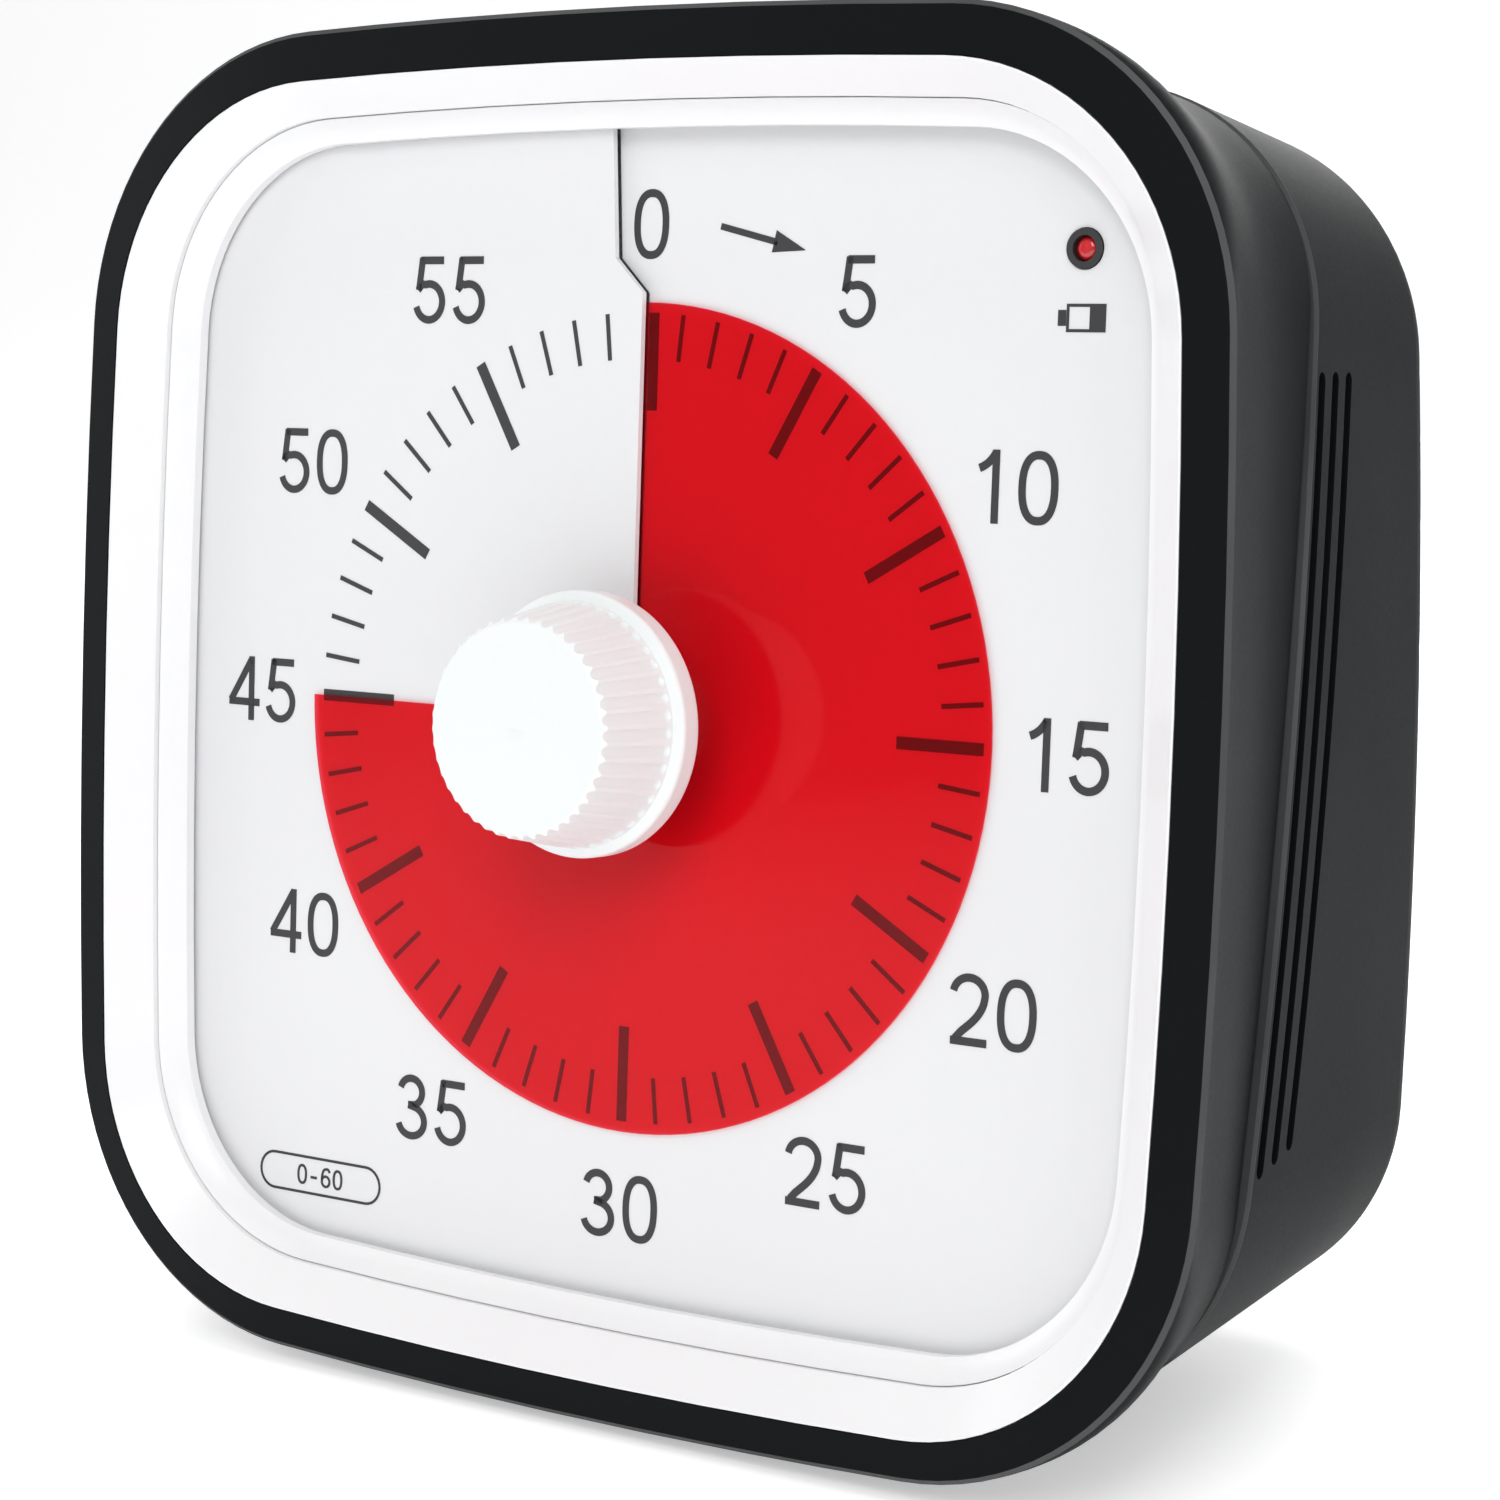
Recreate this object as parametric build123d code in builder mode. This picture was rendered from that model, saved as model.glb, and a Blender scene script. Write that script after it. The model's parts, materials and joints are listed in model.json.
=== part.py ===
"""Visual countdown timer: a rounded-square case with a slotted dial and a red disc on a central knob."""
from build123d import *
from math import atan2, cos, degrees, hypot, pi, radians, sin, tan
import os

os.makedirs("parts", exist_ok=True)

# Driving dimensions, in millimetres and degrees. "Half" is half the width of the rounded square,
# measured at the middle of a side. "Level" is the distance in front of the dial's mean surface.
lean_angle = 4.0            # the dial leans back on the table
dial_height = 86.6          # dial centre above the table
dial_setback = -21.76       # dial centre from the middle of the object, front to back
corner_at = 46.2            # centre of every corner arc, from the dial centre
side_back = 1016.6          # centre of every side arc, beyond the far side
band_corner = 50.5          # the same for the side band behind the ring
ring_half = 85.8            # outer front edge of the black ring
ring_level = 9.1
ring_bevel = 0.5
window_half = 80.1          # opening in the black ring
window_level = 10.25
window_drop = 0.6           # the ring is wider above the opening than below it
step_half = 75.2            # inner edge of the white rim
step_level = 5.7
lip_half = 72.2             # inner edge of the dished surround
lip_level = 2.4
frame_wall = 2.4
shell_wall = 2.0
seam_level = -17.7          # joint between the front and rear halves, at dial height
seam_tilt = 5.2
seam_gap = 0.5
seam_bevel = 0.4
rear_level = -68.0          # rear face, at dial height
rear_wall = 2.6
rear_round = 8.0

dial_thickness = 0.8
film_thickness = 0.25
film_radius = 51.25
film_clearance = 0.225
film_span = 366.0           # degrees of red film
film_setting = 270.0        # leading edge of the film, clockwise from 12 o'clock (45 minutes)
rise = dial_thickness + film_thickness + 2 * film_clearance     # rise of the dial in one turn
hub_radius = 8.8
shaft_radius = 3.0
running_gap = 0.05

carrier_front = -5.5        # chassis plate behind the dial
carrier_back = -7.5
movement_half = 30.0
movement_back = -28.0
movement_wall = 1.5

lean = radians(lean_angle)
dial = Plane(origin=(0, dial_setback, dial_height), x_dir=(1, 0, 0), z_dir=(0, -cos(lean), sin(lean)))
seam = dial.offset(seam_level).rotated((-seam_tilt, 0, 0))
outward = Axis(dial.origin, dial.z_dir)
rear_y = dial_setback - rear_level * cos(lean)

pieces = {}


def outline(half, level, drop=0.0, corner=corner_at):
    """Rounded square with slightly bulged sides, square to the dial at a level."""
    inset = hypot(side_back + corner, corner) - side_back
    sweep_angle = degrees(atan2(corner, side_back + corner))
    with BuildSketch(Plane(origin=dial.from_local_coords((0, -drop, level)), x_dir=dial.x_dir,
                           z_dir=dial.z_dir)) as sketch:
        with BuildLine():
            for turn in (0, 90, 180, 270):
                centre = Vector(corner, corner).rotate(Axis.Z, turn)
                side = Vector(-side_back, 0).rotate(Axis.Z, turn)
                CenterArc(centre, half - inset, turn + sweep_angle, 90 - 2 * sweep_angle)
                CenterArc(side, half + side_back, turn - sweep_angle, 2 * sweep_angle)
        make_face()
    return sketch.sketch


def slab(half, front, back, drop=0.0):
    """Rounded-square block between two levels."""
    with BuildPart() as block:
        extrude(outline(half, back, drop), amount=front - back)
    return block.part


def rod(x, up, radius, front, back):
    """Round bar square to the dial between two levels."""
    with BuildPart() as bar:
        with BuildSketch(dial.offset(back)):
            with Locations((x, up)):
                Circle(radius)
        extrude(amount=front - back)
    return bar.part


def bar_box(x_range, up_range, front, back):
    """Rectangular bar square to the dial."""
    with BuildPart() as bar:
        with BuildSketch(dial.offset(back)):
            with Locations(((x_range[0] + x_range[1]) / 2, (up_range[0] + up_range[1]) / 2)):
                Rectangle(x_range[1] - x_range[0], up_range[1] - up_range[0])
        extrude(amount=front - back)
    return bar.part


def upright_box(x_range, y_range, z_range):
    """Box square to the table."""
    with BuildPart() as block:
        with BuildSketch(Plane.XY.offset(z_range[0])):
            with Locations(((x_range[0] + x_range[1]) / 2, (y_range[0] + y_range[1]) / 2)):
                Rectangle(x_range[1] - x_range[0], y_range[1] - y_range[0])
        extrude(amount=z_range[1] - z_range[0])
    return block.part


def spiral_sheet(start, span, inner, outer, level, thickness):
    """Sheet on a shallow spiral ramp; level is its back at 12 o'clock, angles run clockwise."""
    with BuildLine() as inner_edge:
        Helix(pitch=rise, height=rise * span / 360, radius=inner, lefthand=True)
    with BuildLine() as outer_edge:
        Helix(pitch=rise, height=rise * span / 360, radius=outer, lefthand=True)
    ramp = Face.make_surface_from_curves(inner_edge.edge(), outer_edge.edge())
    place = dial.location * Location((0, 0, level + rise * start / 360), (0, 0, 90 - start))
    with BuildPart() as sheet:
        extrude(place * ramp, amount=thickness, dir=dial.z_dir)
    return sheet.part


def dial_front(clock_angle):
    """Level of the dial's printed surface at an angle clockwise from 12 o'clock."""
    return rise * (clock_angle / 360 - 0.5)


def clock(radius, angle):
    """Point at a radius and an angle clockwise from 12 o'clock."""
    return radius * sin(radians(angle)), radius * cos(radians(angle))


# Outer bodies of the two case halves --------------------------------------------------------------

band_profile = [(84.2, 4.0), (82.4, -2.5), (80.9, -8.5), (79.8, -16.0), (79.2, -32.0)]


def band(wall, ring_section):
    """Side band of the front half, set in by a wall and lofted on to a section at the ring."""
    with BuildPart() as solid:
        loft([ring_section] + [outline(half - wall, level, corner=band_corner)
                               for half, level in band_profile])
    return solid.part


with BuildPart() as front_body:
    add(band(0, outline(ring_half, ring_level - ring_bevel)))
    loft([outline(ring_half, ring_level - ring_bevel), outline(ring_half - ring_bevel, ring_level),
          outline(window_half, window_level, window_drop)], ruled=True)

rear_front_half, rear_front_level, rear_front_corner = 81.2, -12.0, 48.8
rear_back_half, rear_back_level, rear_back_corner = 75.1, -78.0, 45.5
rear_lift = 0.4             # the taper is steeper underneath than on top


def rear_block(wall):
    """Tapered body of the rear half, set in by a wall."""
    with BuildPart() as solid:
        loft([outline(rear_front_half - wall, rear_front_level, corner=rear_front_corner),
              outline(rear_back_half - wall, rear_back_level, -rear_lift, rear_back_corner)], ruled=True)
    return solid.part


with BuildPart() as rear_body:
    add(rear_block(0))
    split(bisect_by=seam.offset(-seam_gap), keep=Keep.BOTTOM)
    split(bisect_by=Plane(origin=(0, rear_y, 0), z_dir=(0, 1, 0)), keep=Keep.BOTTOM)
    chamfer(rear_body.faces().sort_by(Axis.Y)[0].edges(), seam_bevel)
    fillet(rear_body.edges().group_by(Axis.Y)[-1], rear_round)

# Case screws, one near each corner ----------------------------------------------------------------

boss_points = [(x, up) for x in (-46.0, 46.0) for up in (-63.5, 63.5)]
boss_radius = 4.0
boss_front = -8.0
case_screw_radius = 1.5
screw_seat = 8.0            # shell material between the seam and the screw head
screw_reach = 4.2           # thread beyond the seam


def seam_level_at(up):
    """Level of the seam plane at a height on the dial."""
    return seam_level - tan(radians(seam_tilt)) * up


tongue_gap = 0.2
tongue_wall = 1.2
tongue_root = 4.0           # overlap with the frame, in front of the seam
tongue_reach = 2.8          # behind the seam

with BuildPart() as tongue:
    add(rear_block(shell_wall + tongue_gap))
    add(rear_block(shell_wall + tongue_gap + tongue_wall), mode=Mode.SUBTRACT)
    split(bisect_by=seam.offset(tongue_root), keep=Keep.BOTTOM)
    split(bisect_by=seam.offset(-tongue_reach), keep=Keep.TOP)

with BuildPart() as front_frame:
    add(front_body.part)
    add(band(frame_wall, outline(ring_half - frame_wall - 0.7, ring_level - 1.6)), mode=Mode.SUBTRACT)
    add(slab(window_half, window_level + 1, 5.0, window_drop), mode=Mode.SUBTRACT)
    split(bisect_by=seam.offset(seam_gap), keep=Keep.TOP)
    add(tongue.part)
    for x, up in boss_points:
        end = seam_level_at(up)
        wall_up = 77.5 if up > 0 else -77.5
        add(rod(x, up, boss_radius, boss_front, end))
        add(bar_box((x - 1, x + 1), (min(up, wall_up), max(up, wall_up)), boss_front - 1, end + 1.5))
        add(rod(x, up, case_screw_radius, end + screw_reach, end - 1), mode=Mode.SUBTRACT)
pieces["front_frame"] = front_frame

# White rim inside the ring ------------------------------------------------------------------------

flange_half = 81.4
flange_front = 7.5
flange_back = 5.5
skirt_half = 78.4
rim_screws = [(76.2, 0), (0, 76.2), (-76.2, 0), (0, -76.2)]
rim_screw_radius = 0.8

with BuildPart() as bezel:
    add(slab(window_half - 0.15, window_level - 0.1, flange_front, window_drop))
    add(slab(flange_half, flange_front, flange_back))
    add(slab(skirt_half, flange_back, carrier_front))
    loft([outline(window_half - 0.45, window_level - 0.1, window_drop), outline(step_half, step_level)],
         ruled=True, mode=Mode.SUBTRACT)
    add(slab(step_half, step_level, carrier_front), mode=Mode.SUBTRACT)
    add(slab(window_half - 0.45, window_level + 1, window_level - 0.1, window_drop), mode=Mode.SUBTRACT)
    for x, up in rim_screws:
        add(rod(x, up, rim_screw_radius, 0, carrier_front), mode=Mode.SUBTRACT)
pieces["bezel"] = bezel

# Dished surround between the rim and the dial -----------------------------------------------------

dish_profile = [(75.0, 4.9), (73.8, 3.45), (72.9, 2.75), (lip_half, lip_level)]
lip_back = 1.0
pocket_half = 73.4

with BuildPart() as dial_surround:
    add(slab(step_half - 0.1, dish_profile[0][1], carrier_front))
    loft([outline(half, level) for half, level in dish_profile], mode=Mode.SUBTRACT)
    add(slab(lip_half, lip_level, lip_back), mode=Mode.SUBTRACT)
    add(slab(pocket_half, lip_back, carrier_front), mode=Mode.SUBTRACT)
pieces["dial_surround"] = dial_surround

# Dial plate: a shallow spiral with a jogged slot at 12 o'clock ------------------------------------

dial_half = 73.2
slot_line = [(0, 8.0), (0, 52.4), (-4.3, 56.6), (-5.6, 80.0)]
slot_margin = 8.0
between_layers = dial_front(0) + (rise - dial_thickness) / 2
lamp_x, lamp_up = 60.7, 57.5
lamp_collar_radius = 2.3

with BuildPart() as dial_plate:
    add(spiral_sheet(-slot_margin, 360 + 2 * slot_margin, 9.5, 112.0,
                     dial_front(0) - dial_thickness, dial_thickness))
    add(slab(dial_half, 4.0, -4.0), mode=Mode.INTERSECT)
    with BuildSketch(dial.offset(between_layers)):
        with BuildLine():
            Polyline(*slot_line, (15.0, 80.0), (1.4, 8.0), close=True)
        make_face()
    extrude(amount=4, mode=Mode.SUBTRACT)
    with BuildSketch(dial.offset(between_layers)):
        with BuildLine():
            Polyline(*slot_line, (-17.0, 80.0), (-1.4, 8.0), close=True)
        make_face()
    extrude(amount=-4, mode=Mode.SUBTRACT)
    add(rod(lamp_x, lamp_up, lamp_collar_radius + 0.1, 3, -4), mode=Mode.SUBTRACT)
pieces["dial_plate"] = dial_plate

# Chassis plate with posts for the dial and the circuit board --------------------------------------

post_ring = 62.0
post_angles = [22.5 + 45 * step for step in range(8)]
board_posts = [(35.0, 12.0), (62.0, 12.0), (35.0, 54.0)]
board_front = -16.0
board_back = -17.6
board_screw_radius = 1.0
movement_screws_at = [(-26.5, -26.5), (26.5, -26.5), (26.5, 26.5), (-26.5, 26.5)]
movement_screw_radius = 1.0

with BuildPart() as dial_carrier:
    add(slab(77.4, carrier_front, carrier_back))
    for angle in post_angles:
        x, up = clock(post_ring, angle)
        top = dial_front(angle) - dial_thickness - 0.03
        add(rod(x, up, 2.5, top, carrier_front))
    for x, up in board_posts:
        add(rod(x, up, 2.5, carrier_back, board_front))
        add(rod(x, up, board_screw_radius, carrier_back - 3, board_front), mode=Mode.SUBTRACT)
    for x, up in rim_screws:
        add(rod(x, up, rim_screw_radius + 0.1, carrier_front, carrier_back), mode=Mode.SUBTRACT)
    for x, up in movement_screws_at:
        add(rod(x, up, movement_screw_radius, carrier_front, carrier_back), mode=Mode.SUBTRACT)
    add(rod(0, 0, 5.0, carrier_front, carrier_back), mode=Mode.SUBTRACT)
    add(rod(lamp_x, lamp_up, lamp_collar_radius, carrier_front, carrier_back), mode=Mode.SUBTRACT)
pieces["dial_carrier"] = dial_carrier

with BuildPart() as carrier_screws:
    for x, up in rim_screws:
        add(rod(x, up, rim_screw_radius, -1.5, carrier_back))
        add(rod(x, up, 1.45, carrier_back, carrier_back - 1.0))
pieces["carrier_screws"] = carrier_screws

# Rear half of the case ----------------------------------------------------------------------------

bay_low, bay_high = 41.0, 72.0          # battery bay, above the table
bay_half = 29.0
door_inset = 0.1
pocket_depth = 2.4
bay_depth = 15.0
bay_wall = 1.6
door_half = 33.0
door_low, door_high = 38.5, 74.5
door_travel = 7.0
door_gap = 0.3
tab_length = 4.0
tab_centres = (-18.0, 18.0)
switch_height = 118.0
switch_travel = 3.0
slot_width = 2.1
slot_rows = [(2.8, -48.4, 45.2), (7.2, -47.0, 45.8), (11.6, -45.6, 46.3)]     # behind seam, bottom, top

pocket_y = rear_y - pocket_depth
bay_floor_y = pocket_y - bay_depth
pocket_low = door_low - door_travel - door_gap
pocket_high = door_high + door_gap

with BuildPart() as rear_cavity:
    add(rear_block(shell_wall))
    split(bisect_by=Plane(origin=(0, rear_y - rear_wall, 0), z_dir=(0, 1, 0)), keep=Keep.BOTTOM)
    fillet(rear_cavity.edges().group_by(Axis.Y)[-1], rear_round - rear_wall)
    for x, up in boss_points:
        add(rod(x, up, boss_radius + 0.5, seam_level_at(up), -80.0), mode=Mode.SUBTRACT)
    add(upright_box((-bay_half - bay_wall, bay_half + bay_wall), (bay_floor_y - bay_wall, rear_y),
                    (bay_low - bay_wall, bay_high + bay_wall)), mode=Mode.SUBTRACT)
    add(upright_box((-door_half - 2, door_half + 2), (pocket_y - bay_wall, rear_y),
                    (pocket_low - 1.6, pocket_high + tab_length + 2)), mode=Mode.SUBTRACT)

with BuildPart() as rear_shell:
    add(rear_body.part)
    add(rear_cavity.part, mode=Mode.SUBTRACT)
    for x, up in boss_points:
        seat = seam_level_at(up) - screw_seat
        add(rod(x, up, case_screw_radius + 0.1, 0, seat - 1), mode=Mode.SUBTRACT)
        add(rod(x, up, 3.1, seat, -90.0), mode=Mode.SUBTRACT)
    add(upright_box((-bay_half, bay_half), (bay_floor_y, rear_y), (bay_low, bay_high)),
        mode=Mode.SUBTRACT)
    add(upright_box((-door_half - door_gap, door_half + door_gap), (pocket_y, rear_y + 1),
                    (pocket_low, pocket_high)), mode=Mode.SUBTRACT)
    for x in tab_centres:
        add(upright_box((x - 4.3, x + 4.3), (rear_y - 2.25, rear_y - 0.95),
                        (pocket_high - 1, pocket_high + tab_length + 0.3)), mode=Mode.SUBTRACT)
    add(upright_box((-8.5, 8.5), (rear_y - 1.2, rear_y + 1), (switch_height - 4, switch_height + 4)),
        mode=Mode.SUBTRACT)
    add(upright_box((-5.2, 5.2), (rear_y - 4, rear_y), (switch_height - 1.8, switch_height + 1.8)),
        mode=Mode.SUBTRACT)
    for behind, bottom, top in slot_rows:
        side_plane = Plane(origin=seam.from_local_coords((0, (bottom + top) / 2, -behind)),
                           x_dir=seam.y_dir, z_dir=(1, 0, 0))
        for start in (70.0, -90.0):
            with BuildSketch(side_plane.offset(start)):
                SlotOverall(top - bottom, slot_width)
            extrude(amount=20, mode=Mode.SUBTRACT)
pieces["rear_shell"] = rear_shell

with BuildPart() as case_screws:
    for x, up in boss_points:
        end = seam_level_at(up)
        add(rod(x, up, case_screw_radius, end + screw_reach - 0.5, end - screw_seat))
        add(rod(x, up, 2.8, end - screw_seat, end - screw_seat - 2.2))
        add(rod(x, up, 0.9, end - screw_seat - 1.0, end - screw_seat - 2.3), mode=Mode.SUBTRACT)
pieces["case_screws"] = case_screws

# Battery door, cells and contacts -----------------------------------------------------------------

with BuildPart() as battery_door:
    add(upright_box((-door_half, door_half), (pocket_y + 0.1, rear_y - door_inset), (door_low, door_high)))
    for x in tab_centres:
        add(upright_box((x - 4, x + 4), (rear_y - 2.1, rear_y - 1.1),
                        (door_high - 1, door_high + tab_length)))
    for groove in range(5):
        low = door_low + 5 + 2 * groove
        add(upright_box((-9, 9), (rear_y - door_inset - 0.5, rear_y), (low, low + 1)), mode=Mode.SUBTRACT)
pieces["battery_door"] = battery_door

cell_radius = 7.1
cell_length = 49.5
nub_length = 1.0
contact_thickness = 0.4
cell_y = pocket_y - bay_depth / 2
plate_x = bay_half - contact_thickness
cell_rows = [(48.9, 1), (64.1, -1)]     # height above the table, side of the positive end

with BuildPart() as battery_cells:
    for height, side in cell_rows:
        nub_end = side * plate_x
        with BuildSketch(Plane.YZ.offset(nub_end)):
            with Locations((cell_y, height)):
                Circle(2.7)
        extrude(amount=-side * nub_length)
        with BuildSketch(Plane.YZ.offset(nub_end - side * nub_length)):
            with Locations((cell_y, height)):
                Circle(cell_radius)
        extrude(amount=-side * cell_length)
pieces["battery_cells"] = battery_cells

with BuildPart() as contact_plates:
    add(upright_box((plate_x, bay_half), (cell_y - 5, cell_y + 5), (43.5, 70.0)))
    for height, side in cell_rows:
        add(upright_box((-bay_half, -plate_x), (cell_y - 5, cell_y + 5), (height - 5.5, height + 5.5)))
pieces["contact_plates"] = contact_plates

spring_room = 2 * plate_x - nub_length - cell_length
spring_wire = 0.35

spring_turns = 4
spring_length = spring_room - 2 * spring_wire

with BuildPart() as spring:
    with BuildLine() as coil:
        Helix(pitch=spring_length / spring_turns, height=spring_length, radius=3.2)
    with BuildSketch(Plane(origin=coil.line @ 0, z_dir=coil.line % 0)):
        Circle(spring_wire - 0.01)
    sweep()

with BuildPart() as contact_springs:
    for height, side in cell_rows:
        with Locations(Plane(origin=(-side * (plate_x - spring_wire), cell_y, height), z_dir=(side, 0, 0))):
            add(spring.part)
pieces["contact_springs"] = contact_springs

# Sound switch on the back -------------------------------------------------------------------------

with BuildPart() as switch_body:
    add(upright_box((-9, 9), (rear_y - rear_wall - 5, rear_y - rear_wall),
                    (switch_height - 4.5, switch_height + 4.5)))
    add(upright_box((-6.5, 6.5), (rear_y - rear_wall - 1.5, rear_y), (switch_height - 2.2, switch_height + 2.2)),
        mode=Mode.SUBTRACT)
pieces["switch_body"] = switch_body

with BuildPart() as switch_knob:
    add(upright_box((-3.2, 3.2), (rear_y - rear_wall - 1.3, rear_y - rear_wall - 0.2),
                    (switch_height - 2.0, switch_height + 2.0)))
    add(upright_box((-2.0, 2.0), (rear_y - rear_wall - 0.3, rear_y - 0.15),
                    (switch_height - 1.6, switch_height + 1.6)))
pieces["switch_knob"] = switch_knob

# Rubber feet, cut to the case above them ----------------------------------------------------------


def foot(x, y, radius, top, case):
    """Round rubber foot from the table up to the case."""
    with BuildPart() as pad:
        with BuildSketch(Plane.XY):
            with Locations((x, y)):
                Circle(radius)
        extrude(amount=top)
        chamfer(pad.edges().group_by(Axis.Z)[0], 0.5)
        add(case, mode=Mode.SUBTRACT)
    return pad.part.solids().sort_by(Axis.Z)[0]


with BuildPart() as front_feet:
    for x in (-44.0, 44.0):
        add(foot(x, dial_setback, 5.0, 8.0, front_body.part))
pieces["front_feet"] = front_feet

with BuildPart() as rear_feet:
    for x in (-34.0, 34.0):
        add(foot(x, rear_y - 15.0, 6.0, 12.0, rear_body.part))
pieces["rear_feet"] = rear_feet

# Circuit board ------------------------------------------------------------------------------------

with BuildPart() as circuit_board:
    add(bar_box((31.0, 66.0), (8.0, 58.6), board_front, board_back))
    for x, up in board_posts:
        add(rod(x, up, board_screw_radius + 0.1, board_front, board_back), mode=Mode.SUBTRACT)
    for leg in (-1.27, 1.27):
        add(rod(lamp_x + leg, lamp_up - 0.6, 0.25, board_front, board_back), mode=Mode.SUBTRACT)
pieces["circuit_board"] = circuit_board

with BuildPart() as board_screws:
    for x, up in board_posts:
        add(rod(x, up, board_screw_radius, board_back + 5, board_back))
        add(rod(x, up, 2.0, board_back, board_back - 1.3))
pieces["board_screws"] = board_screws

with BuildPart() as control_chip:
    add(bar_box((42.0, 52.0), (40.0, 50.0), board_back, board_back - 1.6))
pieces["control_chip"] = control_chip

with BuildPart() as crystal:
    with BuildSketch(dial.offset(board_back)):
        with Locations((35.5, 36.0)):
            RectangleRounded(4.5, 11.0, 2.0)
    extrude(amount=-3.5)
pieces["crystal"] = crystal

with BuildPart() as buzzer:
    add(rod(52.5, 24.5, 10.5, board_back, board_back - 8.5))
    add(rod(52.5, 24.5, 1.5, board_back - 4, board_back - 9), mode=Mode.SUBTRACT)
pieces["buzzer"] = buzzer

lamp_front = dial_front(46.5) + 0.35
lamp_radius = 1.5

with BuildPart() as lamp_collar:
    add(rod(lamp_x, lamp_up, lamp_collar_radius, lamp_front, carrier_back - 2))
    add(rod(lamp_x, lamp_up, lamp_collar_radius + 0.7, carrier_back, carrier_back - 2))
    add(rod(lamp_x, lamp_up, lamp_radius, lamp_front + 1, carrier_back - 3), mode=Mode.SUBTRACT)
pieces["lamp_collar"] = lamp_collar

with BuildPart() as signal_lamp:
    add(rod(lamp_x, lamp_up, lamp_radius, lamp_front - 0.3, carrier_back - 3.2))
    add(rod(lamp_x, lamp_up, 1.9, carrier_back - 2.2, carrier_back - 3.2))
    fillet(signal_lamp.faces().sort_by(outward)[-1].edges(), 1.0)
    for leg in (-1.27, 1.27):
        add(rod(lamp_x + leg, lamp_up - 0.6, 0.24, carrier_back - 3.2, board_back - 0.8))
pieces["signal_lamp"] = signal_lamp

# Quartz movement ----------------------------------------------------------------------------------

movement_split = -18.0
cavity_half = movement_half - movement_wall
cavity_front = carrier_back - movement_wall
cavity_back = movement_back + movement_wall
arbor_radius = 0.5
rotor_arbor_radius = 0.35

wheel_module = 0.33
rotor_module = 0.3
output_module = 0.8
pinion_teeth = 8
output_teeth = 32
train_teeth = 60
second_teeth = 64


def step_from(centre, distance, angle):
    """Point at a distance from another, by the ordinary counter-clockwise angle."""
    return centre[0] + distance * cos(radians(angle)), centre[1] + distance * sin(radians(angle))


output_centre = (0.0, 0.0)
fourth_direction, third_direction, second_direction, rotor_direction = 180.0, 80.0, 15.0, -10.0
train_distance = wheel_module * (pinion_teeth + train_teeth) / 2
fourth_centre = step_from(output_centre, output_module * (pinion_teeth + output_teeth) / 2, fourth_direction)
third_centre = step_from(fourth_centre, train_distance, third_direction)
second_centre = step_from(third_centre, train_distance, second_direction)
rotor_centre = step_from(second_centre, rotor_module * (pinion_teeth + second_teeth) / 2, rotor_direction)


def toothed(centre, teeth, module, phase, front, back):
    """Gear or pinion with one tooth pointing along phase."""
    pitch = pi * module
    root = module * (teeth / 2 - 1.2)
    tip = module * (teeth / 2 + 0.8)
    points = []
    for tooth in range(teeth):
        aim = radians(phase + 360 * tooth / teeth)
        for radius, width in ((root, -0.27), (tip, -0.09), (tip, 0.09), (root, 0.27)):
            across = width * pitch
            points.append((centre[0] + radius * cos(aim) - across * sin(aim),
                           centre[1] + radius * sin(aim) + across * cos(aim)))
    with BuildPart() as gear:
        with BuildSketch(dial.offset(back)):
            with BuildLine():
                Polyline(*points, close=True)
            make_face()
        extrude(amount=front - back)
    return gear.part


def train_wheel(centre, wheel, pinion, bore):
    """Wheel and pinion moulded together; each is (teeth, module, phase, front, back)."""
    with BuildPart() as gear:
        add(toothed(centre, *wheel))
        add(toothed(centre, *pinion))
        front = max(wheel[3], pinion[3])
        back = min(wheel[4], pinion[4])
        hub = 0.9 if wheel[1] > 0.31 else 0.8
        add(rod(*centre, hub, front, back))
        add(rod(*centre, bore + running_gap, front, back), mode=Mode.SUBTRACT)
    return gear


def gap_phase(direction, teeth):
    """Phase that turns a tooth gap towards a neighbour lying against a direction."""
    return direction + 180 + 180 / teeth


output_levels = (-11.0, -13.0)
fourth_levels = (-14.4, -15.6)
third_levels = (-17.2, -18.4)
second_levels = (-20.0, -21.2)

pieces["fourth_wheel"] = train_wheel(
    fourth_centre,
    (train_teeth, wheel_module, gap_phase(third_direction + 180, train_teeth), *fourth_levels),
    (pinion_teeth, output_module, fourth_direction + 180, -10.8, -14.4), arbor_radius)
pieces["third_wheel"] = train_wheel(
    third_centre,
    (train_teeth, wheel_module, gap_phase(second_direction + 180, train_teeth), *third_levels),
    (pinion_teeth, wheel_module, third_direction + 180, -14.2, -17.2), arbor_radius)
pieces["second_wheel"] = train_wheel(
    second_centre,
    (second_teeth, rotor_module, gap_phase(rotor_direction + 180, second_teeth), *second_levels),
    (pinion_teeth, wheel_module, second_direction + 180, -17.0, -20.0), arbor_radius)

with BuildPart() as rotor_pinion:
    add(toothed(rotor_centre, pinion_teeth, rotor_module, rotor_direction + 180, -19.8, -22.4))
    add(rod(*rotor_centre, rotor_arbor_radius + running_gap, -19.0, -26.0), mode=Mode.SUBTRACT)
pieces["rotor_pinion"] = rotor_pinion

with BuildPart() as rotor_magnet:
    add(rod(*rotor_centre, 2.9, -22.4, -25.4))
    add(rod(*rotor_centre, rotor_arbor_radius + running_gap, -19.0, -26.0), mode=Mode.SUBTRACT)
pieces["rotor_magnet"] = rotor_magnet

with BuildPart() as drive_wheel:
    add(toothed(output_centre, output_teeth, output_module,
                gap_phase(fourth_direction + 180, output_teeth), *output_levels))
    add(rod(0, 0, shaft_radius + running_gap, -10, -14), mode=Mode.SUBTRACT)
pieces["drive_wheel"] = drive_wheel

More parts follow.
